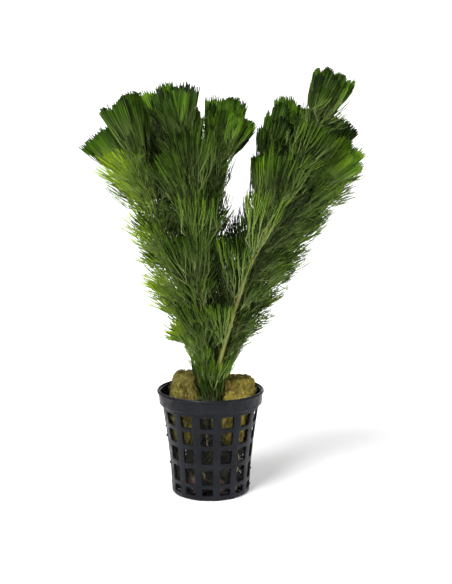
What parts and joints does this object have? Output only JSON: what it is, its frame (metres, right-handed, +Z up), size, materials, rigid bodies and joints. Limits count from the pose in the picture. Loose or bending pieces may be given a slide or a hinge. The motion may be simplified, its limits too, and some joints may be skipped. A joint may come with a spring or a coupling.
{
  "type": "potted aquarium plant",
  "caption": "Bushy aquarium stem plant in a round slotted net pot: fan-shaped feathery leaves on upright stems, wedged between blocks of rock wool.",
  "frame": {"origin": "the middle of the pot's underside, at (0, 0, 0)", "axes": "+Z up along the pot's axis, +X to the right of someone in front of the plant, -Y towards them"},
  "size_m": [0.1413, 0.0763, 0.2125],
  "materials": {
    "pot_plastic": "satin, wet",
    "rock_wool": "rough, fibrous, damp",
    "baked_clay": "rough, unglazed",
    "stem_green": "smooth, damp",
    "leaf_green": "soft, wet"
  },
  "bodies": {
    "root": {"clay_lump_large": "baked_clay", "clay_lump_small": "baked_clay", "leaf_left_back_1": "leaf_green", "leaf_left_back_2": "leaf_green", "leaf_left_back_3": "leaf_green", "leaf_left_back_4": "leaf_green", "leaf_left_back_5": "leaf_green", "leaf_left_front_1": "leaf_green", "leaf_left_front_2": "leaf_green", "leaf_left_front_3": "leaf_green", "leaf_left_front_4": "leaf_green", "leaf_left_front_5": "leaf_green", "leaf_left_front_6": "leaf_green", "leaf_left_inner_1": "leaf_green", "leaf_left_inner_2": "leaf_green", "leaf_left_inner_3": "leaf_green", "leaf_left_inner_4": "leaf_green", "leaf_left_inner_5": "leaf_green", "leaf_left_outer_1": "leaf_green", "leaf_left_outer_2": "leaf_green", "leaf_left_outer_3": "leaf_green", "leaf_left_outer_4": "leaf_green", "leaf_left_outer_5": "leaf_green", "leaf_left_outer_6": "leaf_green", "leaf_left_outer_7": "leaf_green", "leaf_left_outer_8": "leaf_green", "leaf_left_outer_9": "leaf_green", "leaf_right_front_1": "leaf_green", "leaf_right_front_2": "leaf_green", "leaf_right_front_3": "leaf_green", "leaf_right_front_4": "leaf_green", "leaf_right_front_5": "leaf_green", "leaf_right_front_6": "leaf_green", "leaf_right_front_7": "leaf_green", "leaf_right_inner_1": "leaf_green", "leaf_right_inner_2": "leaf_green", "leaf_right_inner_3": "leaf_green", "leaf_right_inner_4": "leaf_green", "leaf_right_inner_5": "leaf_green", "leaf_right_middle_1": "leaf_green", "leaf_right_middle_2": "leaf_green", "leaf_right_middle_3": "leaf_green", "leaf_right_middle_4": "leaf_green", "leaf_right_middle_5": "leaf_green", "leaf_right_outer_1": "leaf_green", "leaf_right_outer_2": "leaf_green", "leaf_right_outer_3": "leaf_green", "leaf_right_outer_4": "leaf_green", "leaf_right_outer_5": "leaf_green", "net_pot": "pot_plastic", "rock_wool_left": "rock_wool", "rock_wool_right": "rock_wool", "stem_left_back": "stem_green", "stem_left_front": "stem_green", "stem_left_inner": "stem_green", "stem_left_outer": "stem_green", "stem_right_front": "stem_green", "stem_right_inner": "stem_green", "stem_right_middle": "stem_green", "stem_right_outer": "stem_green"}
  },
  "joints": []
}
